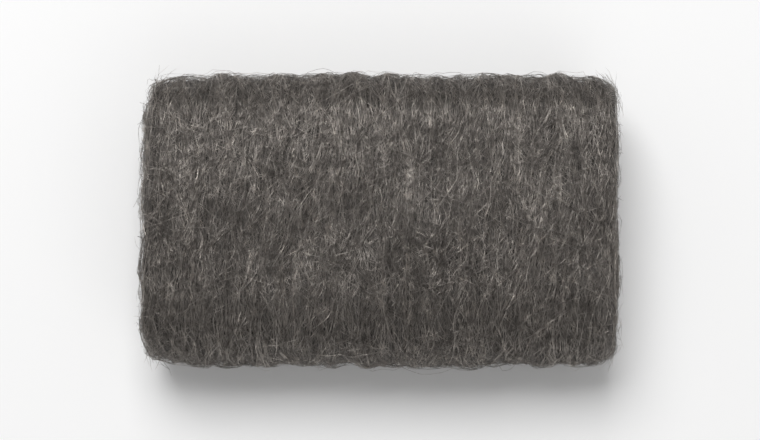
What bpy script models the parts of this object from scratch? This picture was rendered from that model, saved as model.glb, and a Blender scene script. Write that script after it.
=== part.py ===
"""Steel wool pad: one strip of steel wool, rolled up flat and pressed into a hand-sized pad.

Run it with: blender --background --python part.py, or from Blender's text editor.

The model follows the way the real pad is made. A flat strip with soft edges is laid out first, then every
point of it is carried along the path of a flat roll, and the roll is pressed like a small pillow. The strip
stays one closed body, with the narrow gaps between its turns left open.

Metres, +Z up. X runs across the strip, Y from the front fold to the back fold. The origin is the middle of
the base, where the pad lies on a table.
"""

import math

import bmesh
import bpy
from mathutils import Vector, noise

# The strip before it is rolled. It is thinner along its two side edges and at its two torn ends.
STRIP_WIDTH = 0.0845
STRIP_THICKNESS = 0.0043
SIDE_FEATHER = 0.007
SIDE_EDGE_SHARE = 0.82
END_FEATHER = 0.009
TORN_END_SHARE = 0.55
TORN_END_SETBACK = 0.0010
TORN_END_WAVE = 0.0014
TORN_END_WAVELENGTH = 0.009
SIDE_EDGE_WAVE = 0.0009
SIDE_EDGE_WAVELENGTH = 0.008

# The loose strands on the outermost turn, low ridges of uneven height that run along the strip. They start
# where the torn outer end no longer covers the turn, and stop before the base, which is pressed flat.
STRAND_HEIGHT = 0.0011
STRAND_WIDTH = 0.0034
STRAND_LENGTH = 0.012
STRAND_FADE = 0.005
STRAND_SEED = 3.0

# The roll. Five layers lie on each other, joined by four folds. The torn outer end lies underneath, turned
# a little way up the back fold, and the inner end is tucked into the first front fold.
PAD_DEPTH = 0.0525
LAYERS = 5
GAP_BETWEEN_TURNS = 0.0003
INNER_END_CLEARANCE = 0.0006
TAIL_WRAP = math.radians(40)

# How the roll is pressed and how evenly it was wound. A high sharpness keeps an effect close to the ends.
CROWN_RISE = 0.0021
END_SINK = 0.0009
END_SINK_SHARPNESS = 4
CORNER_DRAW_IN = 0.0009
CORNER_SHARPNESS = 12
INNER_WANDER = 0.0010
OUTER_WANDER = 0.0002
WANDER_WAVELENGTH = 0.062
LUMP_HEIGHT = 0.0009
LUMP_SIZE = 0.021
FOLD_WAVE = 0.0009
FOLD_WAVE_SEED = 7.0
BASE_PRESS = 0.00015
BASE_HOLD = 0.004

# How finely the cage is divided before it is smoothed. Each fold has one cell more than the fold inside it.
CELLS_ALONG_AN_INNER_RUN = 3
CELLS_ALONG_AN_OUTER_RUN = 4
CELLS_ROUND_FIRST_FOLD = 4
CELLS_ROUND_TAIL = 2
CELLS_ACROSS = 15
END_ROUNDING = 0.0022
SIDE_ROUNDING = 0.0021
SMOOTHING_LEVELS = 1

TURN_PITCH = STRIP_THICKNESS + GAP_BETWEEN_TURNS
FOLDS = LAYERS - 1
FRONT_FOLD_RADIUS = FOLDS // 2 * TURN_PITCH
BACK_FOLD_RADIUS = ((FOLDS - 1) // 2 + 0.5) * TURN_PITCH
HALF_RUN = (PAD_DEPTH - FRONT_FOLD_RADIUS - BACK_FOLD_RADIUS - STRIP_THICKNESS) / 2
ROLL_HEIGHT = FOLDS * TURN_PITCH + STRIP_THICKNESS
INNER_END_REACH = TURN_PITCH - STRIP_THICKNESS / 2 - INNER_END_CLEARANCE

WOOL_COLOUR = (0.112, 0.105, 0.098, 1.0)
WOOL_ROUGHNESS = 0.55
WOOL_METALLIC = 0.8
NODE_NAME = "steel_wool_pad"


def clear_scene():
    for old in list(bpy.data.objects):
        bpy.data.objects.remove(old, do_unlink=True)


def ease(share):
    """0 to 1 with soft ends, for a share that may lie outside 0 to 1."""
    share = min(1.0, max(0.0, share))
    return share * share * (3 - 2 * share)


def layer_height(layer):
    """Height of a layer's middle above the roll's core. Odd layers lie below the core, even ones above."""
    side = -1 if layer % 2 else 1
    return side * (2 * ((layer + 1) // 2) - 1) / 2 * TURN_PITCH


def roll_path():
    """The roll's runs and folds in order, from the inner end to the torn outer end.

    A run is ("run", length, start y, height, heading), and a fold is ("fold", length, y, height of its
    centre, radius). The folds' radii grow by half a pitch each time, so all layers keep one pitch. The last
    fold is only begun: it turns the torn end up round the roll.
    """
    pieces = []
    for layer in range(1, LAYERS + 1):
        heading = 1 if layer % 2 else -1
        reach = INNER_END_REACH if layer == 1 else 0.0
        start = -heading * HALF_RUN - reach
        pieces.append(("run", 2 * HALF_RUN + reach, start, layer_height(layer), heading))
        radius = layer * TURN_PITCH / 2
        sweep = math.pi if layer < LAYERS else TAIL_WRAP
        centre = (layer_height(layer) + layer_height(layer + 1)) / 2
        pieces.append(("fold", sweep * radius, heading * HALF_RUN, centre, radius))
    return pieces


ROLL_PATH = roll_path()
STRIP_LENGTH = sum(piece[1] for piece in ROLL_PATH)
TAIL_LENGTH = ROLL_PATH[-1][1]
BASE_START = STRIP_LENGTH - TAIL_LENGTH - ROLL_PATH[-2][1]
STRANDS_END = BASE_START - STRAND_FADE
STRANDS_START = BASE_START - sum(piece[1] for piece in ROLL_PATH[-5:-2]) + TAIL_LENGTH
CORE_HEIGHT = STRIP_THICKNESS / 2 - min(layer_height(layer) for layer in range(1, LAYERS + 1))
CORE_SHIFT = (FRONT_FOLD_RADIUS - BACK_FOLD_RADIUS) / 2


def place_on_path(along):
    """(y, z) and the outward direction (y, z) of the strip's middle, at a length along the roll's path."""
    for number, piece in enumerate(ROLL_PATH):
        length = piece[1]
        if along <= length or number == len(ROLL_PATH) - 1:
            break
        along -= length
    if piece[0] == "run":
        _, _, start, height, heading = piece
        return (start + heading * along, height), (0.0, -float(heading))
    _, _, fold_y, centre, radius = piece
    at_back = fold_y > 0
    angle = along / radius + (-math.pi / 2 if at_back else math.pi / 2)
    out = (math.cos(angle), math.sin(angle))
    return (fold_y + radius * out[0], centre + radius * out[1]), out


def stations_along():
    """Where the cage's cross lines lie along the strip: close together in the folds, wider in the runs.

    One more line close to each end keeps the smoothing from drawing the end out into a wedge.
    """
    places = [0.0]
    for number, (kind, length, *_) in enumerate(ROLL_PATH):
        if kind == "run":
            outermost = number // 2 >= LAYERS - 2
            cells = CELLS_ALONG_AN_OUTER_RUN if outermost else CELLS_ALONG_AN_INNER_RUN
        else:
            cells = CELLS_ROUND_FIRST_FOLD + number // 2
        if number == len(ROLL_PATH) - 1:
            cells = CELLS_ROUND_TAIL
        start = places[-1]
        places += [start + length * step / cells for step in range(1, cells + 1)]
    return [0.0, END_ROUNDING, *places[1:-1], STRIP_LENGTH - END_ROUNDING, STRIP_LENGTH]


def stations_across():
    """Where the cage's long lines lie across the strip: evenly, and one more close to each side edge."""
    inner = STRIP_WIDTH / 2 - SIDE_ROUNDING
    even = [inner * (2 * step / CELLS_ACROSS - 1) for step in range(CELLS_ACROSS + 1)]
    return [-STRIP_WIDTH / 2, *even, STRIP_WIDTH / 2]


def flat_strip():
    """The strip laid flat: a grid of its middle, thickened and smoothed into a slab with round edges."""
    along = stations_along()
    across = stations_across()
    cage = bmesh.new()
    bmesh.ops.create_grid(cage, x_segments=len(along) - 1, y_segments=len(across) - 1, size=0.5)
    for vert in cage.verts:
        column = round((vert.co.x + 0.5) * (len(along) - 1))
        row = round((vert.co.y + 0.5) * (len(across) - 1))
        vert.co = Vector((along[column], across[row], 0.0))
    mesh = bpy.data.meshes.new("flat_strip")
    cage.to_mesh(mesh)
    cage.free()

    strip = bpy.data.objects.new("flat_strip", mesh)
    bpy.context.scene.collection.objects.link(strip)
    solidify = strip.modifiers.new("thickness", "SOLIDIFY")
    solidify.thickness = STRIP_THICKNESS
    solidify.offset = 0.0
    smooth = strip.modifiers.new("soft_edges", "SUBSURF")
    smooth.levels = SMOOTHING_LEVELS
    smooth.render_levels = SMOOTHING_LEVELS
    return strip


def strand_height(along, across, up):
    """How far the loose strands raise or lower a point of the strip. Only the outermost face has them."""
    reach = ease((along - STRANDS_START) / STRAND_FADE) * ease((STRANDS_END - along) / STRAND_FADE)
    outward = max(0.0, up) / (STRIP_THICKNESS / 2)
    ridge = noise.noise(Vector((along / STRAND_LENGTH, across / STRAND_WIDTH, STRAND_SEED)))
    return STRAND_HEIGHT * reach * outward * ridge


def feathered(along, across, up):
    """The flat strip thins towards its side edges and its two torn ends, and all its edges are uneven."""
    from_side = STRIP_WIDTH / 2 - abs(across)
    from_end = min(along, STRIP_LENGTH - along)
    towards_middle = 1 if along < STRIP_LENGTH / 2 else -1
    nearness = 1 - ease(from_end / END_FEATHER)
    thin = SIDE_EDGE_SHARE + (1 - SIDE_EDGE_SHARE) * ease(from_side / SIDE_FEATHER)
    thin *= 1 - (1 - TORN_END_SHARE) * nearness
    ragged = TORN_END_WAVE * noise.noise(Vector((across / TORN_END_WAVELENGTH, 0.0, towards_middle)))
    side = 1 if across > 0 else -1
    uneven = SIDE_EDGE_WAVE * noise.noise(Vector((along / SIDE_EDGE_WAVELENGTH, 0.0, 2 * side)))
    return (
        along + towards_middle * nearness * (TORN_END_SETBACK + ragged),
        across + uneven * (1 - ease(from_side / SIDE_FEATHER)),
        up * thin + strand_height(along, across, up),
    )


def rolled(along, across, up):
    """A point of the flat strip, carried to its place in the roll. The inner turns wander more sideways."""
    (y, z), (out_y, out_z) = place_on_path(along)
    wander = INNER_WANDER + (OUTER_WANDER - INNER_WANDER) * along / STRIP_LENGTH
    wander *= math.sin(2 * math.pi * along / WANDER_WAVELENGTH)
    return Vector((across + wander, y + out_y * up + CORE_SHIFT, z + out_z * up + CORE_HEIGHT))


def pressed(point):
    """The roll as it comes out of its pack: crowned, lower at its open ends, with soft lumps and corners.

    Heights are only ever scaled, so the base stays flat and the turns never run into each other. What lies
    within a hair of the base is pressed on to it, and the base's own outline is held straight.
    """
    end_share = min(1.0, abs(point.x) / (STRIP_WIDTH / 2))
    fold_share = min(1.0, abs(point.y) / (PAD_DEPTH / 2))
    rise = CROWN_RISE * (1 - fold_share**2) - END_SINK * end_share**END_SINK_SHARPNESS
    rise += LUMP_HEIGHT * noise.noise(Vector((point.x / LUMP_SIZE, point.y / LUMP_SIZE, 0.0)))
    fold_wave = FOLD_WAVE * noise.noise(Vector((point.x / LUMP_SIZE, 0.0, FOLD_WAVE_SEED)))
    draw_in = CORNER_DRAW_IN * end_share**CORNER_SHARPNESS * point.y / (PAD_DEPTH / 2)
    height = point.z * (1 + rise / ROLL_HEIGHT)
    return Vector((
        point.x,
        point.y + ease(point.z / BASE_HOLD) * (fold_wave * fold_share**2 - draw_in),
        height if height > BASE_PRESS else 0.0,
    ))


def centre_over_base(mesh):
    """Moves the mesh so that the middle of its base is the origin."""
    low = [min(vert.co[axis] for vert in mesh.vertices) for axis in range(3)]
    high = [max(vert.co[axis] for vert in mesh.vertices) for axis in range(3)]
    shift = Vector(((low[0] + high[0]) / 2, (low[1] + high[1]) / 2, low[2]))
    for vert in mesh.vertices:
        vert.co -= shift


def wool_material():
    material = bpy.data.materials.new("steel_wool")
    material.use_nodes = True
    shader = material.node_tree.nodes["Principled BSDF"]
    shader.inputs["Base Color"].default_value = WOOL_COLOUR
    shader.inputs["Roughness"].default_value = WOOL_ROUGHNESS
    shader.inputs["Metallic"].default_value = WOOL_METALLIC
    return material


def rolled_pad(collection):
    """Rolls the flat strip up, presses the roll and makes it the pad's one object."""
    strip = flat_strip()
    graph = bpy.context.evaluated_depsgraph_get()
    mesh = bpy.data.meshes.new_from_object(strip.evaluated_get(graph))
    bpy.data.objects.remove(strip, do_unlink=True)

    for vert in mesh.vertices:
        vert.co = pressed(rolled(*feathered(*vert.co)))
    centre_over_base(mesh)
    mesh.shade_smooth()
    mesh.materials.clear()
    mesh.materials.append(wool_material())
    mesh.name = NODE_NAME
    pad = bpy.data.objects.new(NODE_NAME, mesh)
    collection.objects.link(pad)
    return pad


def main():
    clear_scene()
    collection = bpy.data.collections.new("steel_wool_pad")
    bpy.context.scene.collection.children.link(collection)
    rolled_pad(collection)


main()
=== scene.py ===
# %% [markdown]
# # A steel wool pad
#
# A steel wool pad is one long strip of fine steel fibres. A machine shaves the fibres off a wire, lays them
# side by side into a flat strip, and the strip is rolled up flat into a pad that fits the hand.
#
# This lesson makes the pad in the same order. The strip is laid out flat, nearly all the fibres are strewn
# over it while it is flat, because that is easy, and then strip and fibres are carried together along the
# path of the roll. First the pad's plain solid is loaded. It is the frame: the looks have to fit round it.

# %% Load the frame
import math

import bmesh
import bpy
import numpy as np
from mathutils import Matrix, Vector, noise


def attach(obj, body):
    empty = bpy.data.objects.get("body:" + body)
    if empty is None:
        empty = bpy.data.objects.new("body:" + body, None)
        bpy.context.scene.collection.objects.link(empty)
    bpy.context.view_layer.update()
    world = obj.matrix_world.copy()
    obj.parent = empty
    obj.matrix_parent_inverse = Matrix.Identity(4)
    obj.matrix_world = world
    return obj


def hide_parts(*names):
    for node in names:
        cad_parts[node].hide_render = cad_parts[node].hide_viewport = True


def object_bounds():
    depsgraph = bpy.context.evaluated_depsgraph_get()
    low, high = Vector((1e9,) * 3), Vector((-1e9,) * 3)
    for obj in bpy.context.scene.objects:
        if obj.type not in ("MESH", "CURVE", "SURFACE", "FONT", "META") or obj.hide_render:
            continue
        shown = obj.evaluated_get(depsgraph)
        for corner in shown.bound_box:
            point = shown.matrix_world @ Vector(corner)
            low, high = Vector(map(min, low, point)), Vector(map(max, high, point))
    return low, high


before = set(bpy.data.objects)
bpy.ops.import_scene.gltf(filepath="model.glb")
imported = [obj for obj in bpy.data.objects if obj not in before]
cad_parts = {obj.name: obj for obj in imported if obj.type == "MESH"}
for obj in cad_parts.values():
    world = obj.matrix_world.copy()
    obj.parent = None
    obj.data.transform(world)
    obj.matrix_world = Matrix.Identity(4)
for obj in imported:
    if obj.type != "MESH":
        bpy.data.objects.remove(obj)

PAD_NODE = "steel_wool_pad"
CAD_LOW, CAD_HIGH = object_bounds()
print("solid's box in mm:", [round(1000 * (high - low), 1) for low, high in zip(CAD_LOW, CAD_HIGH)])

# %% [markdown]
# ## The sizes of the strip and the roll
#
# These are the sizes that the solid was made from, in metres. Everything that follows is worked out from
# them, so the looks and the solid share one shape. X runs across the strip, Y from the front fold to the back
# fold, and Z is up.

# %% Sizes
STRIP_WIDTH = 0.0845
STRIP_THICKNESS = 0.0043
SIDE_FEATHER = 0.007
SIDE_EDGE_SHARE = 0.82
END_FEATHER = 0.009
TORN_END_SHARE = 0.55
TORN_END_SETBACK = 0.0010
TORN_END_WAVE = 0.0014
TORN_END_WAVELENGTH = 0.009
SIDE_EDGE_WAVE = 0.0009
SIDE_EDGE_WAVELENGTH = 0.008

STRAND_HEIGHT = 0.0011
STRAND_WIDTH = 0.0034
STRAND_LENGTH = 0.012
STRAND_FADE = 0.005
STRAND_SEED = 3.0

PAD_DEPTH = 0.0525
LAYERS = 5
GAP_BETWEEN_TURNS = 0.0003
INNER_END_CLEARANCE = 0.0006
TAIL_WRAP = math.radians(40)

CROWN_RISE = 0.0021
END_SINK = 0.0009
END_SINK_SHARPNESS = 4
CORNER_DRAW_IN = 0.0009
CORNER_SHARPNESS = 12
INNER_WANDER = 0.0010
OUTER_WANDER = 0.0002
WANDER_WAVELENGTH = 0.062
LUMP_HEIGHT = 0.0009
LUMP_SIZE = 0.021
FOLD_WAVE = 0.0009
FOLD_WAVE_SEED = 7.0
BASE_HOLD = 0.004

TURN_PITCH = STRIP_THICKNESS + GAP_BETWEEN_TURNS
FOLDS = LAYERS - 1
FRONT_FOLD_RADIUS = FOLDS // 2 * TURN_PITCH
BACK_FOLD_RADIUS = ((FOLDS - 1) // 2 + 0.5) * TURN_PITCH
HALF_RUN = (PAD_DEPTH - FRONT_FOLD_RADIUS - BACK_FOLD_RADIUS - STRIP_THICKNESS) / 2
ROLL_HEIGHT = FOLDS * TURN_PITCH + STRIP_THICKNESS
INNER_END_REACH = TURN_PITCH - STRIP_THICKNESS / 2 - INNER_END_CLEARANCE


def ease(share):
    """0 to 1 with soft ends, for numbers or arrays that may lie outside 0 to 1."""
    share = np.clip(share, 0.0, 1.0)
    return share * share * (3 - 2 * share)


def noise_of(x, y, z):
    """Blender's own noise at each place, as an array. A plain number stands for an array of that number."""
    return np.array([noise.noise(Vector(place)) for place in zip(*np.broadcast_arrays(x, y, z))])


# %% [markdown]
# ## The path of the roll
#
# Seen from its open end, the roll is a flat spiral: straight runs that lie on each other, joined by folds
# that are half circles. Each fold's radius is half a pitch larger than the last, which keeps all the layers
# one pitch apart. The path is a list of pieces, and a function finds the point at any length along it.

# %% Lay out the path
def layer_height(layer):
    """Height of a layer's middle above the roll's core. Odd layers lie below the core, even ones above."""
    side = -1 if layer % 2 else 1
    return side * (2 * ((layer + 1) // 2) - 1) / 2 * TURN_PITCH


def roll_path():
    """The roll's pieces in order, from the inner end to the torn outer end.

    A run is ("run", length, start y, height, heading), and a fold is ("fold", length, y, height of its
    centre, radius).
    """
    pieces = []
    for layer in range(1, LAYERS + 1):
        heading = 1 if layer % 2 else -1
        reach = INNER_END_REACH if layer == 1 else 0.0
        start = -heading * HALF_RUN - reach
        pieces.append(("run", 2 * HALF_RUN + reach, start, layer_height(layer), heading))
        radius = layer * TURN_PITCH / 2
        sweep = math.pi if layer < LAYERS else TAIL_WRAP
        centre = (layer_height(layer) + layer_height(layer + 1)) / 2
        pieces.append(("fold", sweep * radius, heading * HALF_RUN, centre, radius))
    return pieces


ROLL_PATH = roll_path()
PIECE_ENDS = np.cumsum([piece[1] for piece in ROLL_PATH])
STRIP_LENGTH = float(PIECE_ENDS[-1])
BACK_FOLD_START, TOP_START, FRONT_FOLD_START, BASE_START, TAIL_START = PIECE_ENDS[-6:-1]
STRANDS_START = BACK_FOLD_START + STRIP_LENGTH - TAIL_START
STRANDS_END = BASE_START - STRAND_FADE
CORE_HEIGHT = STRIP_THICKNESS / 2 - min(layer_height(layer) for layer in range(1, LAYERS + 1))
CORE_SHIFT = (FRONT_FOLD_RADIUS - BACK_FOLD_RADIUS) / 2


def place_on_path(along):
    """(y, z) of the strip's middle at a length along the roll's path, which goes on past both ends."""
    number = min(int(np.searchsorted(PIECE_ENDS, along)), len(ROLL_PATH) - 1)
    along -= PIECE_ENDS[number - 1] if number else 0.0
    if ROLL_PATH[number][0] == "run":
        _, _, start, height, heading = ROLL_PATH[number]
        return start + heading * along + CORE_SHIFT, height + CORE_HEIGHT
    _, _, fold_y, centre, radius = ROLL_PATH[number]
    angle = along / radius + (-math.pi / 2 if fold_y > 0 else math.pi / 2)
    return fold_y + radius * math.cos(angle) + CORE_SHIFT, centre + radius * math.sin(angle) + CORE_HEIGHT


PATH_OVERRUN = 0.010
PATH_STEP = 0.0003


def path_curve():
    """The path as a curve object of short straight pieces, a little longer than the strip at both ends."""
    count = round((STRIP_LENGTH + 2 * PATH_OVERRUN) / PATH_STEP)
    curve = bpy.data.curves.new("roll_path", "CURVE")
    curve.dimensions = "3D"
    spline = curve.splines.new("POLY")
    spline.points.add(count)
    lengths = np.linspace(-PATH_OVERRUN, STRIP_LENGTH + PATH_OVERRUN, count + 1)
    for point, along in zip(spline.points, lengths):
        y, z = place_on_path(along)
        point.co = (0.0, y, z, 1.0)
    made = bpy.data.objects.new("roll_path", curve)
    bpy.context.scene.collection.objects.link(made)
    return made


path = path_curve()
print("strip's length in mm:", round(1000 * STRIP_LENGTH, 1))
print("points on the path:", len(path.data.splines[0].points))

# %% [markdown]
# ## The flat strip
#
# The strip starts as a coarse cage, which Solidify makes thick and Subdivision Surface rounds. Its rows are
# closer together where a fold will be. It is then thinned towards its sides and its torn ends, as a fleece
# of fibres is, and loose strands rise a little from the face that will lie outermost. That face also lies a
# bit deeper than the solid's, so that the fibres on it fill out the solid's own size. The outer torn end
# sinks on to the turn under it, as loose wool clings to wool.
#
# Each face is given a zone, a whole number that says where it will lie in the finished roll, so that fibres
# can be grown on one zone at a time.

# %% Make the cage and round it
CELLS_ALONG_AN_INNER_RUN = 2
CELLS_ALONG_AN_OUTER_RUN = 4
CELLS_ROUND_FIRST_FOLD = 3
CELLS_ROUND_TAIL = 2
CELLS_ACROSS = 10
END_ROUNDING = 0.0022
SIDE_ROUNDING = 0.0021
SMOOTHING_LEVELS = 3
BODY_INSET = 0.0003


def stations_along():
    """Where the cage's cross lines lie along the strip: close together in the folds, wider in the runs."""
    places = [0.0]
    for number, (kind, length, *_) in enumerate(ROLL_PATH):
        if kind == "run":
            outermost = number // 2 >= LAYERS - 2
            cells = CELLS_ALONG_AN_OUTER_RUN if outermost else CELLS_ALONG_AN_INNER_RUN
        else:
            cells = CELLS_ROUND_FIRST_FOLD + number // 2
        if number == len(ROLL_PATH) - 1:
            cells = CELLS_ROUND_TAIL
        start = places[-1]
        places += [start + length * step / cells for step in range(1, cells + 1)]
    return [0.0, END_ROUNDING, *places[1:-1], STRIP_LENGTH - END_ROUNDING, STRIP_LENGTH]


def stations_across():
    """Where the cage's long lines lie across the strip: evenly, and one more close to each side edge."""
    half_width = STRIP_WIDTH / 2 - BODY_INSET
    inner = half_width - SIDE_ROUNDING
    return [-half_width, *np.linspace(-inner, inner, CELLS_ACROSS + 1), half_width]


def plain_mesh(thing):
    """The object's evaluated shape as a mesh with no modifiers."""
    graph = bpy.context.evaluated_depsgraph_get()
    return bpy.data.meshes.new_from_object(thing.evaluated_get(graph))


def rounded_slab():
    """The strip as a flat slab with round edges, before it is thinned."""
    along, across = stations_along(), stations_across()
    cage = bmesh.new()
    bmesh.ops.create_grid(cage, x_segments=len(along) - 1, y_segments=len(across) - 1, size=0.5)
    for vert in cage.verts:
        column = round((vert.co.x + 0.5) * (len(along) - 1))
        row = round((vert.co.y + 0.5) * (len(across) - 1))
        vert.co = Vector((along[column], across[row], 0.0))
    mesh = bpy.data.meshes.new("flat_strip")
    cage.to_mesh(mesh)
    cage.free()
    slab = bpy.data.objects.new("flat_strip", mesh)
    bpy.context.scene.collection.objects.link(slab)
    solidify = slab.modifiers.new("thickness", "SOLIDIFY")
    solidify.thickness = STRIP_THICKNESS - 2 * BODY_INSET
    solidify.offset = 0.0
    smooth = slab.modifiers.new("soft_edges", "SUBSURF")
    smooth.levels = smooth.render_levels = SMOOTHING_LEVELS
    slab.data = plain_mesh(slab)
    slab.modifiers.clear()
    return slab


strip = rounded_slab()
print("flat strip's faces:", len(strip.data.polygons))

# %% Thin the strip and raise its strands
FIBRE_BED_DEPTH = 0.00012


def positions(mesh):
    """The mesh's points as an array with a row of x, y and z for each."""
    found = np.empty(3 * len(mesh.vertices), np.float32)
    mesh.vertices.foreach_get("co", found)
    return found.reshape(-1, 3).astype(float)


def move_points(mesh, points):
    mesh.vertices.foreach_set("co", points.astype(np.float32).ravel())
    mesh.update()


def strand_height(along, across, up):
    """How far the loose strands raise or lower the strip's points. Only the outermost face has them."""
    reach = ease((along - STRANDS_START) / STRAND_FADE) * ease((STRANDS_END - along) / STRAND_FADE)
    outward = np.maximum(0.0, up) / (STRIP_THICKNESS / 2)
    ridges = noise_of(along / STRAND_LENGTH, across / STRAND_WIDTH, STRAND_SEED)
    return reach * outward * (STRAND_HEIGHT * ridges - FIBRE_BED_DEPTH)


def feathered(points):
    """The strip thinned towards its edges, which are uneven, with its outer torn end lowered."""
    along, across, up = points.T
    from_side = STRIP_WIDTH / 2 - abs(across)
    from_end = np.minimum(along, STRIP_LENGTH - along)
    towards_middle = np.where(along < STRIP_LENGTH / 2, 1.0, -1.0)
    nearness = 1 - ease(from_end / END_FEATHER)
    thin = SIDE_EDGE_SHARE + (1 - SIDE_EDGE_SHARE) * ease(from_side / SIDE_FEATHER)
    thin *= 1 - (1 - TORN_END_SHARE) * nearness
    ragged = TORN_END_WAVE * noise_of(across / TORN_END_WAVELENGTH, 0.0, towards_middle)
    side = np.where(across > 0, 1.0, -1.0)
    uneven = SIDE_EDGE_WAVE * noise_of(along / SIDE_EDGE_WAVELENGTH, 0.0, 2 * side)
    lowered = (1 - TORN_END_SHARE) * nearness * STRIP_THICKNESS / 2
    sunk = np.where(along > STRIP_LENGTH / 2, lowered, 0.0)
    return np.column_stack((
        along + towards_middle * nearness * (TORN_END_SETBACK + ragged),
        across + uneven * (1 - ease(from_side / SIDE_FEATHER)),
        up * thin - sunk + strand_height(along, across, up),
    ))


move_points(strip.data, feathered(positions(strip.data)))
print("flat strip in mm:", [round(1000 * size, 1) for size in np.ptp(positions(strip.data), axis=0)])

# %% Give each face its zone
ZONES = ("hidden", "top", "back", "front", "base", "left", "right", "torn")
EDGE_BAND = 0.0022
TORN_BAND = 0.0035
FOLD_SHARE_OF_TOP = 0.35
FACING_LIMIT = 0.3


def face_zones(strip):
    """Writes each face's zone. Only the outside of the last turn shows, and the strip's edges."""
    count = len(strip.data.polygons)
    middle, normal = np.empty(3 * count, np.float32), np.empty(3 * count, np.float32)
    strip.data.polygons.foreach_get("center", middle)
    strip.data.polygons.foreach_get("normal", normal)
    along, across, _ = middle.reshape(-1, 3).T
    facing_out = normal.reshape(-1, 3)[:, 2]
    outside = facing_out > FACING_LIMIT
    top_start = TOP_START - FOLD_SHARE_OF_TOP * (TOP_START - BACK_FOLD_START)
    top_end = FRONT_FOLD_START + FOLD_SHARE_OF_TOP * (BASE_START - FRONT_FOLD_START)
    zone = np.zeros(count, np.int32)
    starts = ((BACK_FOLD_START, "back"), (top_start, "top"), (top_end, "front"), (BASE_START, "base"),
              (TAIL_START, "back"))
    for start, name in starts:
        zone[outside & (along > start)] = ZONES.index(name)
    zone[(facing_out > -FACING_LIMIT) & (along > STRIP_LENGTH - TORN_BAND)] = ZONES.index("torn")
    zone[across < EDGE_BAND - STRIP_WIDTH / 2] = ZONES.index("left")
    zone[across > STRIP_WIDTH / 2 - EDGE_BAND] = ZONES.index("right")
    strip.data.attributes.new("zone", "INT", "FACE").data.foreach_set("value", zone)
    return {name: int((zone == number).sum()) for number, name in enumerate(ZONES)}


print("faces in each zone:", face_zones(strip))

# %% [markdown]
# ## Helpers for node trees
#
# A node tree is easier to read in a script when one call adds a node, sets its options and joins its inputs.
# These short helpers do that. A value that comes out of another node is linked, and a plain number is set.

# %% Write the helpers that make trees and nodes
SOCKET_TYPES = {
    float: "NodeSocketFloat", int: "NodeSocketInt", bool: "NodeSocketBool", tuple: "NodeSocketVector"}


def new_tree(name, kind, inputs, outputs):
    """A node tree with named inputs and outputs. An input's type is named, or follows from its value."""
    tree = bpy.data.node_groups.new(name, kind)
    for side, sockets in (("INPUT", inputs), ("OUTPUT", outputs)):
        for label, value in sockets.items():
            named = isinstance(value, str)
            kind_of_socket = f"NodeSocket{value}" if named else SOCKET_TYPES[type(value)]
            socket = tree.interface.new_socket(label, in_out=side, socket_type=kind_of_socket)
            if not named:
                socket.default_value = value
    return tree, tree.nodes.new("NodeGroupInput").outputs, tree.nodes.new("NodeGroupOutput").inputs


def join(tree, value, socket):
    """Links a value that comes out of a node, or sets a plain one."""
    if isinstance(value, bpy.types.NodeSocket):
        tree.links.new(value, socket)
    else:
        socket.default_value = value


def add(tree, kind, inputs=(), **options):
    """Adds a node and joins its inputs, given as a list in their order or as a dictionary by name."""
    made = tree.nodes.new(kind)
    for option, value in options.items():
        setattr(made, option, value)
    in_use = [socket for socket in made.inputs if socket.enabled]
    if isinstance(inputs, dict):
        pairs = [(inputs[socket.name], socket) for socket in in_use if socket.name in inputs]
    else:
        pairs = zip(inputs, in_use)
    for value, socket in pairs:
        join(tree, value, socket)
    return made


def result(made):
    """The output that a node has in use first."""
    return next(socket for socket in made.outputs if socket.enabled)


# %% Write shorthands for the nodes used most
def calc(tree, operation, *values):
    return result(add(tree, "ShaderNodeMath", values, operation=operation))


def calc_vector(tree, operation, *values):
    return result(add(tree, "ShaderNodeVectorMath", values, operation=operation))


def split(tree, vector):
    return add(tree, "ShaderNodeSeparateXYZ", [vector]).outputs


def combine(tree, x, y, z):
    return result(add(tree, "ShaderNodeCombineXYZ", [x, y, z]))


def both_ways(tree, number):
    """A number from 0 to 1, spread over -1 to 1."""
    return calc(tree, "MULTIPLY_ADD", number, 2.0, -1.0)


def stretched_noise(tree, place, length, width, settings):
    """A noise whose lumps are one length along the strip and one width across it."""
    where = calc_vector(tree, "DIVIDE", place, combine(tree, length, width, width))
    inputs = {"Vector": where, "Scale": 1.0, **settings}
    return add(tree, "ShaderNodeTexNoise", inputs, noise_dimensions="3D").outputs["Fac"]


def read(tree, name, data_type="FLOAT"):
    """The value that geometry holds under a name."""
    made = add(tree, "GeometryNodeInputNamedAttribute", {"Name": name}, data_type=data_type)
    return made.outputs["Attribute"]


def store(tree, geometry, name, value, data_type="FLOAT"):
    """The geometry, with a value stored on it under a name."""
    inputs = {"Geometry": geometry, "Name": name, "Value": value}
    return result(add(tree, "GeometryNodeStoreNamedAttribute", inputs, data_type=data_type))


def here(tree):
    """The place of each point."""
    return result(add(tree, "GeometryNodeInputPosition"))


def finish_tree(tree, given, out, geometry):
    """Ends a tree: its geometry is made real and gets its material."""
    real = result(add(tree, "GeometryNodeRealizeInstances", [geometry]))
    done = add(tree, "GeometryNodeSetMaterial", {"Geometry": real, "Material": given["Material"]})
    join(tree, result(done), out["Geometry"])


# %% [markdown]
# ## Rolling up, as a node group
#
# A point of the flat strip has three numbers: how far along the strip it lies, how far across, and how high
# above the strip's middle. The group reads the roll's path at the first number, and sets the point off to the
# side and outwards by the other two. Anything that was laid on the flat strip can be rolled up by it, so the
# body and the fibres share it.

# %% Build the roll-up group
ACROSS = (1.0, 0.0, 0.0)


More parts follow.
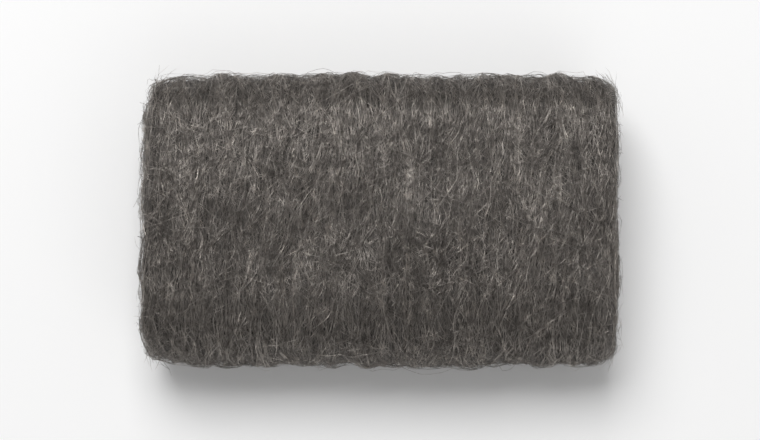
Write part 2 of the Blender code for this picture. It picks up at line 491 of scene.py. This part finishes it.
def roll_up_group():
    inputs = {
        "Geometry": "Geometry", "Path": "Object", "Overrun": PATH_OVERRUN, "Strip Length": STRIP_LENGTH,
        "Inner Wander": INNER_WANDER, "Outer Wander": OUTER_WANDER, "Wander Wavelength": WANDER_WAVELENGTH}
    tree, given, out = new_tree("Roll Up", "GeometryNodeTree", inputs, {"Geometry": "Geometry"})
    place = split(tree, here(tree))
    path_geometry = add(tree, "GeometryNodeObjectInfo", [given["Path"]]).outputs["Geometry"]
    length = calc(tree, "ADD", place["X"], given["Overrun"])
    there = add(tree, "GeometryNodeSampleCurve", {"Curves": path_geometry, "Length": length},
                mode="LENGTH", use_all_curves=False).outputs
    square_to_path = calc_vector(tree, "CROSS_PRODUCT", there["Tangent"], ACROSS)
    outwards = calc_vector(tree, "NORMALIZE", square_to_path)
    turns = calc(tree, "DIVIDE", place["X"], given["Wander Wavelength"])
    swing = calc(tree, "SINE", calc(tree, "MULTIPLY", turns, 2 * math.pi))
    steadier = calc(tree, "SUBTRACT", given["Outer Wander"], given["Inner Wander"])
    done = calc(tree, "DIVIDE", place["X"], given["Strip Length"])
    wander = calc(tree, "MULTIPLY_ADD", steadier, done, given["Inner Wander"])
    sideways = calc(tree, "MULTIPLY_ADD", swing, wander, place["Y"])
    moved = calc_vector(tree, "ADD", there["Position"], combine(tree, sideways, 0.0, 0.0))
    height = combine(tree, place["Z"], place["Z"], place["Z"])
    lifted = calc_vector(tree, "MULTIPLY_ADD", outwards, height, moved)
    placed = add(tree, "GeometryNodeSetPosition", {"Geometry": given["Geometry"], "Position": lifted})
    join(tree, result(placed), out["Geometry"])
    return tree


ROLL_UP = roll_up_group()
print("roll-up group's nodes:", len(ROLL_UP.nodes))

# %% [markdown]
# ## Tufts, as a node group
#
# The loose strands break up into small tufts, one to three millimetres in size. A noise that is stretched
# along the strip gives their relief. Body and fibres read the same group, so the fibres lie on the tufts
# instead of cutting through them.

# %% Build the tuft group
TUFT_NOISE = {"Detail": 1.0, "Roughness": 0.5, "Distortion": 0.3}


def tufts_group():
    inputs = {"Place": (0.0, 0.0, 0.0), "Height": 0.00035, "Length": 0.0028, "Width": 0.0015}
    tree, given, out = new_tree("Tufts", "GeometryNodeTree", inputs, {"Height": "Float"})
    field = stretched_noise(tree, given["Place"], given["Length"], given["Width"], TUFT_NOISE)
    join(tree, calc(tree, "MULTIPLY", both_ways(tree, field), given["Height"]), out["Height"])
    return tree


TUFTS = tufts_group()
print("tuft group's nodes:", len(TUFTS.nodes))

# %% [markdown]
# ## Running a tree, and pressing the roll
#
# A modifier's input is set by its socket's identifier, because two sockets may share a name. The result is
# turned into a plain mesh and the modifier is taken off.
#
# The roll then gets its last shape. A real pad is squeezed from all sides: it is a little higher in the
# middle, lower at its open ends and softer at the corners. Every piece goes through the same function, very
# nearly the solid's own, so nothing drifts apart. Wool that would go below the table is lifted on to it.

# %% Run trees and press what they make
TABLE_GAP = 0.00004


def grow(name, source, tree, **values):
    """Runs a node tree on a mesh object and returns what it makes as a plain mesh object of its own."""
    grown = bpy.data.objects.new(name, source.data)
    bpy.context.scene.collection.objects.link(grown)
    modifier = grown.modifiers.new(name, "NODES")
    modifier.node_group = tree
    for item in tree.interface.items_tree:
        label = item.name.lower().replace(" ", "_")
        if item.in_out == "INPUT" and label in values:
            modifier[item.identifier] = values[label]
    grown.data = plain_mesh(grown)
    grown.modifiers.clear()
    grown.data.name = name
    return grown


def pressed(points):
    """The roll in its last shape: crowned, lower at its open ends, with soft lumps and corners."""
    end_share = np.minimum(1.0, abs(points[:, 0]) / (STRIP_WIDTH / 2))
    fold_share = np.minimum(1.0, abs(points[:, 1]) / (PAD_DEPTH / 2))
    rise = CROWN_RISE * (1 - fold_share**2) - END_SINK * end_share**END_SINK_SHARPNESS
    rise += LUMP_HEIGHT * noise_of(points[:, 0] / LUMP_SIZE, points[:, 1] / LUMP_SIZE, 0.0)
    fold_wave = FOLD_WAVE * noise_of(points[:, 0] / LUMP_SIZE, 0.0, FOLD_WAVE_SEED)
    draw_in = CORNER_DRAW_IN * end_share**CORNER_SHARPNESS * points[:, 1] / (PAD_DEPTH / 2)
    return np.column_stack((
        points[:, 0],
        points[:, 1] + ease(points[:, 2] / BASE_HOLD) * (fold_wave * fold_share**2 - draw_in),
        points[:, 2] * (1 + rise / ROLL_HEIGHT),
    ))


def settle(piece, shift, still_round=True, ring=1):
    """Presses a piece if that isn't done yet, and lifts each ring of its points that is below the table."""
    points = positions(piece.data)
    if still_round:
        points = pressed(points) + shift
    lowest = points[:, 2].reshape(-1, ring).min(1)
    points[:, 2] += np.repeat(np.maximum(0.0, TABLE_GAP - lowest), ring)
    move_points(piece.data, points)


# %% [markdown]
# ## A finish for the wool
#
# Seen close, the wool is a mass of bright and dark hairs that nearly all run one way. One shader group makes
# two masks from a stretched noise: small flecks, and long narrow strands. The body and the fibres each read
# it with their own values. On all but the open ends' fibres, it reads a place that was stored while the
# strip was flat, so the strands follow the strip round every fold. A picture would do this too, but it would
# repeat and blur.

# %% Build the streak group
STREAK_NOISE = {"Detail": 2.0, "Roughness": 0.6, "Distortion": 0.5}
STREAK_RANGE = {"From Min": 0.3, "From Max": 0.7, "To Min": 0.0, "To Max": 1.0}


def streaks_group():
    inputs = {
        "Place": (0.0, 0.0, 0.0), "Fleck Length": 0.0012, "Fleck Width": 0.0016,
        "Strand Length": 0.040, "Strand Width": 0.0012}
    outputs = {"Flecks": "Float", "Strands": "Float"}
    tree, given, out = new_tree("Wool Streaks", "ShaderNodeTree", inputs, outputs)
    for label, kind in (("Flecks", "Fleck"), ("Strands", "Strand")):
        length, width = given[f"{kind} Length"], given[f"{kind} Width"]
        field = stretched_noise(tree, given["Place"], length, width, STREAK_NOISE)
        spread = add(tree, "ShaderNodeMapRange", {"Value": field, **STREAK_RANGE})
        join(tree, result(spread), out[label])
    return tree


STREAKS = streaks_group()
print("streak group's nodes:", len(STREAKS.nodes))


def new_material(name):
    material = bpy.data.materials.new(name)
    material.use_nodes = True
    shader = material.node_tree.nodes["Principled BSDF"]
    return material, material.node_tree, shader.inputs


def place_streaks(tree, sizes):
    """Places the streak group in a material and hands it the place stored on the flat strip."""
    place = add(tree, "ShaderNodeAttribute", attribute_name="strip_place").outputs["Vector"]
    return add(tree, "ShaderNodeGroup", {"Place": place, **sizes}, node_tree=STREAKS).outputs


def mix_colour(tree, share, first, second):
    return result(add(tree, "ShaderNodeMix", {"Factor": share, "A": first, "B": second}, data_type="RGBA"))


# %% [markdown]
# ## The body's finish
#
# Between the fibres one looks into the matted wool under them, some of it deep and dark. It is far too fine
# to model, so flecks that are drawn out into hairs colour it and give it a fine bump. Between the hairs its
# colour is near black, painted shade for the wool's depth. Each pair of numbers says what a mask is
# multiplied by and what is then added.

# %% Make the body's finish
# Painted shade: the near black of the matted wool deep between the hairs, where little light reaches.
DEEP_WOOL_PAINTED_SHADE = (0.030, 0.028, 0.026, 1.0)
NEAR_WOOL = (0.320, 0.294, 0.270, 1.0)
HAIR_SIZES = {"Fleck Length": 0.006, "Fleck Width": 0.00016}
HAIR_RELIEF = 0.00012
HAIR_STRENGTH = 0.9
BODY_SHADE_BY_STRAND = (0.3, 0.6)
BODY_ROUGHNESS_BY_FLECK = (-0.2, 0.62)


def body_finish():
    material, tree, shader = new_material("matted_wool")
    streaks = place_streaks(tree, HAIR_SIZES)
    by_strand = calc(tree, "MULTIPLY_ADD", streaks["Strands"], *BODY_SHADE_BY_STRAND)
    share = calc(tree, "MULTIPLY", streaks["Flecks"], by_strand)
    roughness = calc(tree, "MULTIPLY_ADD", streaks["Flecks"], *BODY_ROUGHNESS_BY_FLECK)
    relief = {"Strength": HAIR_STRENGTH, "Distance": HAIR_RELIEF, "Height": streaks["Flecks"]}
    bump = add(tree, "ShaderNodeBump", relief)
    # Where the flecks are low, the colour goes to the painted shade of the deep wool.
    join(tree, mix_colour(tree, share, DEEP_WOOL_PAINTED_SHADE, NEAR_WOOL), shader["Base Color"])
    join(tree, roughness, shader["Roughness"])
    join(tree, result(bump), shader["Normal"])
    shader["Metallic"].default_value = 0.75
    return material


matted_wool = body_finish()
print("finish:", matted_wool.name)

# %% [markdown]
# ## The fibres' finish
#
# A shaved steel fibre is bare metal, smoother in some spots than in others. Each fibre has a tone of its own,
# which the flecks and strands then vary along and across the strip, so that neighbours differ but the pad as
# a whole stays an even grey. Where the flecks make a fibre smoother, they also lighten its colour: painted
# glints.

# %% Make the fibres' finish
DARK_FIBRE = (0.160, 0.146, 0.134, 1.0)
# The bright colour is the bright fibres' own tone, and also that of the painted glints that the flecks put on
# them.
BRIGHT_FIBRE_AND_GLINT = (0.900, 0.828, 0.762, 1.0)
SHADE_BY_FIBRE = (0.6, 0.2)
PAINTED_GLINT_BY_FLECK = (1.15, 0.32)
SHADE_BY_STRAND = (0.45, 0.63)
ROUGHNESS_BY_FLECK = (-0.2, 0.5)


def fibre_finish():
    material, tree, shader = new_material("steel_fibre")
    streaks = place_streaks(tree, {})
    own_shade = add(tree, "ShaderNodeAttribute", attribute_name="fibre_shade").outputs["Fac"]
    share = calc(tree, "MULTIPLY_ADD", own_shade, *SHADE_BY_FIBRE)
    # The flecks lighten the colour in short spots along each fibre, which are painted glints; the strands
    # vary the tone at random.
    for mask, pair in (("Flecks", PAINTED_GLINT_BY_FLECK), ("Strands", SHADE_BY_STRAND)):
        share = calc(tree, "MULTIPLY", share, calc(tree, "MULTIPLY_ADD", streaks[mask], *pair))
    join(tree, mix_colour(tree, share, DARK_FIBRE, BRIGHT_FIBRE_AND_GLINT), shader["Base Color"])
    join(tree, calc(tree, "MULTIPLY_ADD", streaks["Flecks"], *ROUGHNESS_BY_FLECK), shader["Roughness"])
    shader["Metallic"].default_value = 0.9
    return material


steel_fibre = fibre_finish()
print("finish:", steel_fibre.name)

# %% [markdown]
# ## The body of the roll
#
# The body is the mass of the wool, with all five layers and the narrow gaps between them. It could be cut out
# of a block, but then its ends would show no spiral. So its tree takes the flat strip, stores each point's
# place on it, raises the tufts, and rolls the strip up.

# %% Grow the body
def body_tree():
    inputs = {"Geometry": "Geometry", "Path": "Object", "Material": "Material"}
    tree, given, out = new_tree("Wool Body", "GeometryNodeTree", inputs, {"Geometry": "Geometry"})
    position = here(tree)
    stored = store(tree, given["Geometry"], "strip_place", position, "FLOAT_VECTOR")
    height = result(add(tree, "GeometryNodeGroup", {"Place": position}, node_tree=TUFTS))
    normal = result(add(tree, "GeometryNodeInputNormal"))
    relief = calc_vector(tree, "MULTIPLY", normal, combine(tree, height, height, height))
    raised = result(add(tree, "GeometryNodeSetPosition", {"Geometry": stored, "Offset": relief}))
    rolled = add(tree, "GeometryNodeGroup", {"Geometry": raised, "Path": given["Path"]}, node_tree=ROLL_UP)
    finish_tree(tree, given, out, result(rolled))
    return tree


wool_body = grow("wool_body", strip, body_tree(), path=path, material=matted_wool)
body_points = pressed(positions(wool_body.data))
body_middle = (body_points.min(0) + body_points.max(0)) / 2
cad_middle = [(CAD_LOW.x + CAD_HIGH.x) / 2, (CAD_LOW.y + CAD_HIGH.y) / 2]
SHIFT = np.array([cad_middle[0] - body_middle[0], cad_middle[1] - body_middle[1], CAD_LOW.z])
settle(wool_body, SHIFT)
wool_body.data.shade_smooth()
print("body's triangles:", 2 * len(wool_body.data.polygons), "shift in mm:", (1000 * SHIFT).round(2))

# %% [markdown]
# ## The fibres
#
# Real fibres are far finer than a picture can show, so these are a little thicker and fewer. Hair curves
# would be quick, but they aren't solid, so each fibre here is a thin closed tube.
#
# Points are strewn over one zone of the flat strip. Each point stands for a wisp, two or three fibres that
# lie side by side, or for one fibre alone. A fibre starts as a straight line of a few points, turned roughly
# along the strip. It is bent by a noise that is the wisp's own, laid back on to the strip's surface, and
# lifted a little, so that the fibres pass over and under each other. Then it is rolled up and given three
# sides, a taper and a twist, and its flat sides catch the light in turn, as real shavings do.
#
# One tree makes them all. Its inputs say on which zone, how many, how long, how thick and how unruly.

# %% Sow straight lines over a zone
# A wisp or a fibre has one random number of its own. It is multiplied by one of these factors and loses its
# whole part, which gives unrelated numbers for different uses.
SCATTER = {
    "bend": 1.0, "yaw": 91.7, "bed": 370.0, "lift": 730.0, "height": 83.0, "girth": 517.0, "twist": 1.0}
SEEDS = {"length": 2, "shade": 3, "Wisp Length": 4, "Wisp Width": 5, "Wisp Height": 6}


def random_value(tree, low, high, seed):
    inputs = {"Min": low, "Max": high, "Seed": seed}
    return result(add(tree, "FunctionNodeRandomValue", inputs, data_type="FLOAT"))


def to_either_side(tree, size, seed):
    """A random distance of up to half the size, one way or the other."""
    return random_value(tree, calc(tree, "MULTIPLY", size, -0.5), calc(tree, "MULTIPLY", size, 0.5), seed)


def own_number(tree, owner, use):
    """A number from 0 to 1 for one use, worked out from the wisp's or the fibre's own."""
    return calc(tree, "FRACT", calc(tree, "MULTIPLY", read(tree, owner), SCATTER[use]))


def sown_lines(tree, given):
    """Wisps of straight lines, strewn over one zone of the flat strip and turned roughly along it."""
    zone = read(tree, "zone", "INT")
    limits = [
        result(add(tree, "FunctionNodeCompare", {"A": zone, "B": given[label]},
                   data_type="INT", operation=how))
        for label, how in (("First Zone", "GREATER_EQUAL"), ("Last Zone", "LESS_EQUAL"))]
    wanted = result(add(tree, "FunctionNodeBooleanMath", limits, operation="AND"))
    spots = add(tree, "GeometryNodeDistributePointsOnFaces", {
        "Mesh": given["Geometry"], "Selection": wanted, "Density": given["Density"],
        "Seed": given["Seed"]}).outputs
    wisps = store(tree, spots["Points"], "wisp", random_value(tree, 0.0, 1.0, given["Seed"]))
    copies = add(tree, "GeometryNodeDuplicateElements", {"Geometry": wisps, "Amount": given["In A Wisp"]},
                 domain="POINT").outputs["Geometry"]
    fibres = store(tree, copies, "fibre_shade", random_value(tree, 0.0, 1.0, SEEDS["shade"]))

    axes = {"Primary Axis": spots["Normal"], "Secondary Axis": ACROSS}
    facing = add(tree, "FunctionNodeAxesToRotation", axes, primary_axis="Z", secondary_axis="X")
    yaw = calc(tree, "MULTIPLY", both_ways(tree, own_number(tree, "wisp", "yaw")), given["Yaw"])
    turn = add(tree, "FunctionNodeEulerToRotation", [combine(tree, 0.0, 0.0, yaw)])
    turned = result(add(tree, "FunctionNodeRotateRotation", {
        "Rotation": result(facing), "Rotate By": result(turn)}, rotation_space="LOCAL"))
    sides = ("Wisp Length", "Wisp Width", "Wisp Height")
    apart = combine(tree, *(to_either_side(tree, given[label], SEEDS[label]) for label in sides))
    beside = add(tree, "FunctionNodeRotateVector", {"Vector": apart, "Rotation": turned})
    spread = add(tree, "GeometryNodeSetPosition", {"Geometry": fibres, "Offset": result(beside)})

    line = add(tree, "GeometryNodeCurvePrimitiveLine", {"Start": (-0.5, 0.0, 0.0), "End": (0.5, 0.0, 0.0)})
    pointed = add(tree, "GeometryNodeResampleCurve", {"Curve": result(line), "Count": given["Points"]})
    length = random_value(tree, given["Shortest"], given["Longest"], SEEDS["length"])
    lines = add(tree, "GeometryNodeInstanceOnPoints", {
        "Points": result(spread), "Instance": result(pointed), "Rotation": turned,
        "Scale": combine(tree, length, 1.0, 1.0)})
    return result(add(tree, "GeometryNodeRealizeInstances", [result(lines)]))


# %% Lay the lines on the strip
NOISES_APART = 1000.0
TWICE = (2.0, 2.0, 2.0)
LESS_ONE = (-1.0, -1.0, -1.0)
FEW_RISE_HIGH = 2.0
SLOPE_PAST_END = 0.8
UNDER_FACE = 0.0002 - STRIP_THICKNESS / 2


def arch(tree):
    """0 at both ends of a line and 1 in its middle."""
    factor = add(tree, "GeometryNodeSplineParameter").outputs["Factor"]
    share = calc(tree, "MULTIPLY", factor, calc(tree, "SUBTRACT", 1.0, factor))
    return calc(tree, "MULTIPLY", share, 4.0)


def height_on_strip(tree, given, place, weave):
    """How high each point of a line lies: on the tufts and its wisp's own bed, woven, and arched up."""
    height = result(add(tree, "GeometryNodeGroup", {"Place": place}, node_tree=TUFTS))
    height = calc(tree, "MULTIPLY_ADD", own_number(tree, "wisp", "bed"), given["Bed"], height)
    in_wisp = own_number(tree, "fibre_shade", "height")
    height = calc(tree, "MULTIPLY_ADD", in_wisp, given["Wisp Height"], height)
    height = calc(tree, "MULTIPLY_ADD", weave, given["Weave"], height)
    eager = calc(tree, "POWER", own_number(tree, "wisp", "lift"), FEW_RISE_HIGH)
    return calc(tree, "MULTIPLY_ADD", calc(tree, "MULTIPLY", arch(tree), eager), given["Lift"], height)


def laid_on_strip(tree, given, lines):
    """The lines bent, each wisp in its own way, and laid over and under each other.

    On the flat strip, a line that runs past the torn end sinks to the turn under it. On the finished body, a
    line's ends stick out past the body's open end by a share of what they would.
    """
    position = here(tree)
    own = calc(tree, "MULTIPLY", own_number(tree, "wisp", "bend"), NOISES_APART)
    along = calc(tree, "DIVIDE", split(tree, position)["X"], given["Wave Length"])
    field = add(tree, "ShaderNodeTexNoise", {
        "Vector": combine(tree, along, 0.0, 0.0), "W": own, "Scale": 1.0, "Detail": 1.0},
        noise_dimensions="4D").outputs["Color"]
    swing = split(tree, calc_vector(tree, "MULTIPLY_ADD", field, TWICE, LESS_ONE))
    sideways, endways = (calc(tree, "MULTIPLY", swing[axis], given["Wave Width"]) for axis in "XY")
    bent = calc_vector(tree, "ADD", position, combine(tree, 0.0, sideways, endways))
    bed, normal = (
        result(add(tree, "GeometryNodeSampleNearestSurface", {
            "Mesh": given["Geometry"], "Value": value, "Sample Position": bent}, data_type="FLOAT_VECTOR"))
        for value in (position, result(add(tree, "GeometryNodeInputNormal"))))
    outwards = calc_vector(tree, "SCALE", normal, height_on_strip(tree, given, bed, swing["Z"]))
    drawn = split(tree, calc_vector(tree, "ADD", bed, outwards))
    free = split(tree, calc_vector(tree, "ADD", bent, outwards))

    straight_on = split(tree, bent)["X"]
    past_end = calc(tree, "MAXIMUM", calc(tree, "SUBTRACT", straight_on, given["Strip Length"]), 0.0)
    sinking = calc(tree, "MULTIPLY_ADD", past_end, -SLOPE_PAST_END, drawn["Z"])
    on_strip = combine(tree, straight_on, drawn["Y"], calc(tree, "MAXIMUM", sinking, given["Under Face"]))
    beyond = calc(tree, "SUBTRACT", free["X"], drawn["X"])
    sticking_out = calc(tree, "MULTIPLY", beyond, given["Sticking Out"])
    over_turns = combine(tree, calc(tree, "ADD", drawn["X"], sticking_out), free["Y"], free["Z"])
    placed = result(add(tree, "GeometryNodeSwitch", {
        "Switch": given["Rolled"], "False": over_turns, "True": on_strip}, input_type="VECTOR"))
    return result(add(tree, "GeometryNodeSetPosition", {"Geometry": lines, "Position": placed}))


# %% Give the lines their thickness
FIBRE_SIDES = 3
GIRTH_BY_FIBRE = (0.8, 0.6)
TIP_SHARE = 0.2
BLUNTNESS = 0.5
TWISTS_APART = 9.0


def with_thickness(tree, given, lines):
    """The lines as three-sided tubes with a taper, a twist and closed ends."""
    girth = calc(tree, "MULTIPLY_ADD", own_number(tree, "fibre_shade", "girth"), *GIRTH_BY_FIBRE)
    taper = calc(tree, "MULTIPLY_ADD", calc(tree, "POWER", arch(tree), BLUNTNESS), 1 - TIP_SHARE, TIP_SHARE)
    radius = calc(tree, "MULTIPLY", calc(tree, "MULTIPLY", girth, taper), given["Radius"])
    factor = add(tree, "GeometryNodeSplineParameter").outputs["Factor"]
    turned = calc(tree, "MULTIPLY_ADD", own_number(tree, "fibre_shade", "twist"), TWISTS_APART, factor)
    twist = calc(tree, "MULTIPLY", turned, given["Twist"])
    twisted = add(tree, "GeometryNodeSetCurveTilt", {"Curve": lines, "Tilt": twist})
    section = add(tree, "GeometryNodeCurvePrimitiveCircle", {"Resolution": FIBRE_SIDES, "Radius": 1.0})
    return result(add(tree, "GeometryNodeCurveToMesh", {
        "Curve": result(twisted), "Profile Curve": result(section), "Scale": radius, "Fill Caps": True}))


# %% Build the fibre tree
def fibre_tree():
    inputs = {
        "Geometry": "Geometry", "Path": "Object", "Rolled": True, "First Zone": 1, "Last Zone": 1,
        "Density": 1.0e6, "Shortest": 0.008, "Longest": 0.018, "Radius": 0.00004, "Points": 8, "Yaw": 0.32,
        "Wave Length": 0.0045, "Wave Width": 0.0015, "Bed": 0.00045, "Weave": 0.00025, "Lift": 0.0004,
        "Twist": 6.0, "In A Wisp": 1, "Wisp Length": 0.006, "Wisp Width": 0.0010, "Wisp Height": 0.0002,
        "Sticking Out": 0.3, "Strip Length": STRIP_LENGTH, "Under Face": UNDER_FACE, "Seed": 1,
        "Material": "Material"}
    tree, given, out = new_tree("Wool Fibres", "GeometryNodeTree", inputs, {"Geometry": "Geometry"})
    laid = laid_on_strip(tree, given, sown_lines(tree, given))
    stored = store(tree, laid, "strip_place", here(tree), "FLOAT_VECTOR")
    rolled = add(tree, "GeometryNodeGroup", {"Geometry": stored, "Path": given["Path"]}, node_tree=ROLL_UP)
    placed = add(tree, "GeometryNodeSwitch", {
        "Switch": given["Rolled"], "False": stored, "True": result(rolled)}, input_type="GEOMETRY")
    finish_tree(tree, given, out, with_thickness(tree, given, result(placed)))
    return tree


FIBRES = fibre_tree()
print("fibre tree's nodes:", len(FIBRES.nodes))

# %% [markdown]
# ## The kinds of fibres
#
# Long fibres lie along the strip in wisps. Short tangled ones, which hold real wool together, lie between
# them. The torn end is frayed, and its fibres lie over the step down to the turn under it. Some stray hairs
# stand off.
#
# The open ends are another matter. Their fibres cross from turn to turn, so they are grown on the finished
# body instead of the flat strip, and stay short and close to it, so that the spiral shows between them.

# %% Grow the fibres
LAID = {
    "source": strip, "rolled": True, "in_a_wisp": 3, "shortest": 0.014, "longest": 0.034, "points": 14,
    "yaw": 0.40, "wave_length": 0.006, "wave_width": 0.0036}
TANGLED = {
    "source": strip, "rolled": True, "in_a_wisp": 2, "shortest": 0.004, "longest": 0.010, "points": 6,
    "yaw": 1.3, "wave_length": 0.0035, "wave_width": 0.0013, "radius": 0.000035, "bed": 0.0007}
FRAYED = {
    "source": strip, "rolled": True, "shortest": 0.005, "longest": 0.014, "yaw": 0.6,
    "wave_length": 0.0035, "wave_width": 0.0016, "bed": 0.0006, "lift": 0.0003}
STRAY = {
    "source": strip, "rolled": True, "shortest": 0.006, "longest": 0.016, "points": 8, "yaw": 1.6,
    "wave_length": 0.006, "wave_width": 0.002, "radius": 0.00003, "lift": 0.0018}
AT_END = {
    "source": wool_body, "rolled": False, "shortest": 0.003, "longest": 0.008, "points": 6, "yaw": 1.6,
    "wave_length": 0.004, "wave_width": 0.0012, "radius": 0.000035, "bed": 0.0005, "lift": 0.0006}

# Each piece's kind of fibre, its first and last zone, and how many fibres start on a square metre of them.
FIBRE_PIECES = {
    "top_fibres": (LAID, "top", "top", 0.58e6),
    "back_fold_fibres": (LAID, "back", "back", 0.5e6),
    "front_fold_fibres": (LAID, "front", "front", 0.5e6),
    "base_fibres": (LAID, "base", "base", 0.25e6),
    "layer_edge_fibres": (LAID, "left", "right", 0.25e6),
    "top_tangles": (TANGLED, "top", "top", 1.35e6),
    "fold_tangles": (TANGLED, "back", "front", 1.0e6),
    "left_end_fibres": (AT_END, "left", "left", 1.0e6),
    "right_end_fibres": (AT_END, "right", "right", 1.0e6),
    "torn_end_fibres": (FRAYED, "torn", "torn", 3.6e6),
    "stray_hairs": (STRAY, "top", "right", 0.04e6),
}


def count_triangles(piece):
    return sum(len(face.vertices) - 2 for face in piece.data.polygons)


def fibre_piece(name, kind, first, last, density):
    values = {key: value for key, value in kind.items() if key != "source"}
    piece = grow(name, kind["source"], FIBRES, path=path, material=steel_fibre,
                 density=density / kind.get("in_a_wisp", 1),
                 first_zone=ZONES.index(first), last_zone=ZONES.index(last), seed=len(name), **values)
    settle(piece, SHIFT, kind["rolled"], FIBRE_SIDES)
    print(name, "triangles:", count_triangles(piece))
    return piece


fibre_pieces = [fibre_piece(name, *how) for name, how in FIBRE_PIECES.items()]
print("triangles in all:", sum(count_triangles(piece) for piece in (wool_body, *fibre_pieces)))

# %% [markdown]
# ## Handing the pieces over
#
# The solid is hidden, and the pieces stand for it. They all ride on the part's one body, and all are steel
# wool. The flat strip and the path have done their work and are taken away.

# %% Tie the pieces to the model
for helper in (strip, path):
    bpy.data.objects.remove(helper, do_unlink=True)
for piece in (wool_body, *fibre_pieces):
    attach(piece, "root")
    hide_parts(PAD_NODE)
print("pieces handed over:", 1 + len(fibre_pieces))

# %% [markdown]
# ## Floor and light
#
# The pad lies on a plain floor. A soft window light comes from behind and above, so that the face is lighter
# towards the back fold, and a weaker one keeps the front fold from going dark. The floor is pure white only
# as it is seen, directly or in a reflection. For the light that it throws back it is a little greyer, as a
# pale table is.

# %% Set the floor
FLOOR_SIZE = 4.0
FLOOR_COLOUR = (0.80, 0.80, 0.80, 1.0)
WHITE = (1.0, 1.0, 1.0, 1.0)


def floor():
    bpy.ops.mesh.primitive_plane_add(size=FLOOR_SIZE)
    made = bpy.context.object
    made.name = "floor"
    material, tree, shader = new_material("plain_floor")
    rays = add(tree, "ShaderNodeLightPath").outputs
    seen = calc(tree, "MAXIMUM", rays["Is Glossy Ray"], rays["Is Transmission Ray"])
    seen = calc(tree, "MAXIMUM", rays["Is Camera Ray"], seen)
    join(tree, mix_colour(tree, seen, FLOOR_COLOUR, WHITE), shader["Base Color"])
    shader["Roughness"].default_value = 0.9
    shader["Specular IOR Level"].default_value = 0.0
    made.data.materials.append(material)
    return made


print("floor's width in m:", floor().dimensions.x)

# %% Set the lights
WORLD_LIGHT = 0.28


def softbox(name, place, size, power):
    """A square lamp at a place, turned towards the pad."""
    lamp = bpy.data.lights.new(name, "AREA")
    lamp.shape = "SQUARE"
    lamp.size = size
    lamp.energy = power
    made = bpy.data.objects.new(name, lamp)
    made.location = place
    made.rotation_euler = (-Vector(place)).to_track_quat("-Z", "Y").to_euler()
    bpy.context.scene.collection.objects.link(made)
    return made


lamps = [
    softbox("window", place=(-0.12, 0.40, 0.72), size=0.5, power=5.25),
    softbox("fill", place=(0.27, -0.64, 0.50), size=0.8, power=1.28),
]
world = bpy.data.worlds.new("studio")
world.use_nodes = True
world.node_tree.nodes["Background"].inputs["Color"].default_value = WHITE
world.node_tree.nodes["Background"].inputs["Strength"].default_value = WORLD_LIGHT
bpy.context.scene.world = world
bpy.context.scene.view_settings.view_transform = "Standard"
print("lamps in W:", {lamp.name: round(lamp.data.energy, 2) for lamp in lamps})

# %% [markdown]
# ## The camera
#
# The camera looks down on the pad's broad face, almost square to it, through a long lens that keeps the
# edges nearly parallel. Its distance follows from the lens and from the width that the picture should show.

# %% Set the camera
LENS = 100.0
CAMERA_ELEVATION = math.radians(84)
VIEW_WIDTH = 0.134


def camera():
    lens = bpy.data.cameras.new("camera")
    lens.lens = LENS
    made = bpy.data.objects.new("camera", lens)
    distance = VIEW_WIDTH * LENS / lens.sensor_width
    back = Vector((0.0, -math.cos(CAMERA_ELEVATION), math.sin(CAMERA_ELEVATION)))
    target = Vector((0.0, 0.0, CAD_HIGH.z / 2))
    made.location = target + back * (distance + CAD_HIGH.z / 2)
    made.rotation_euler = (-back).to_track_quat("-Z", "Y").to_euler()
    bpy.context.scene.collection.objects.link(made)
    bpy.context.scene.camera = made
    return distance


print("camera's distance in m:", round(camera(), 3))
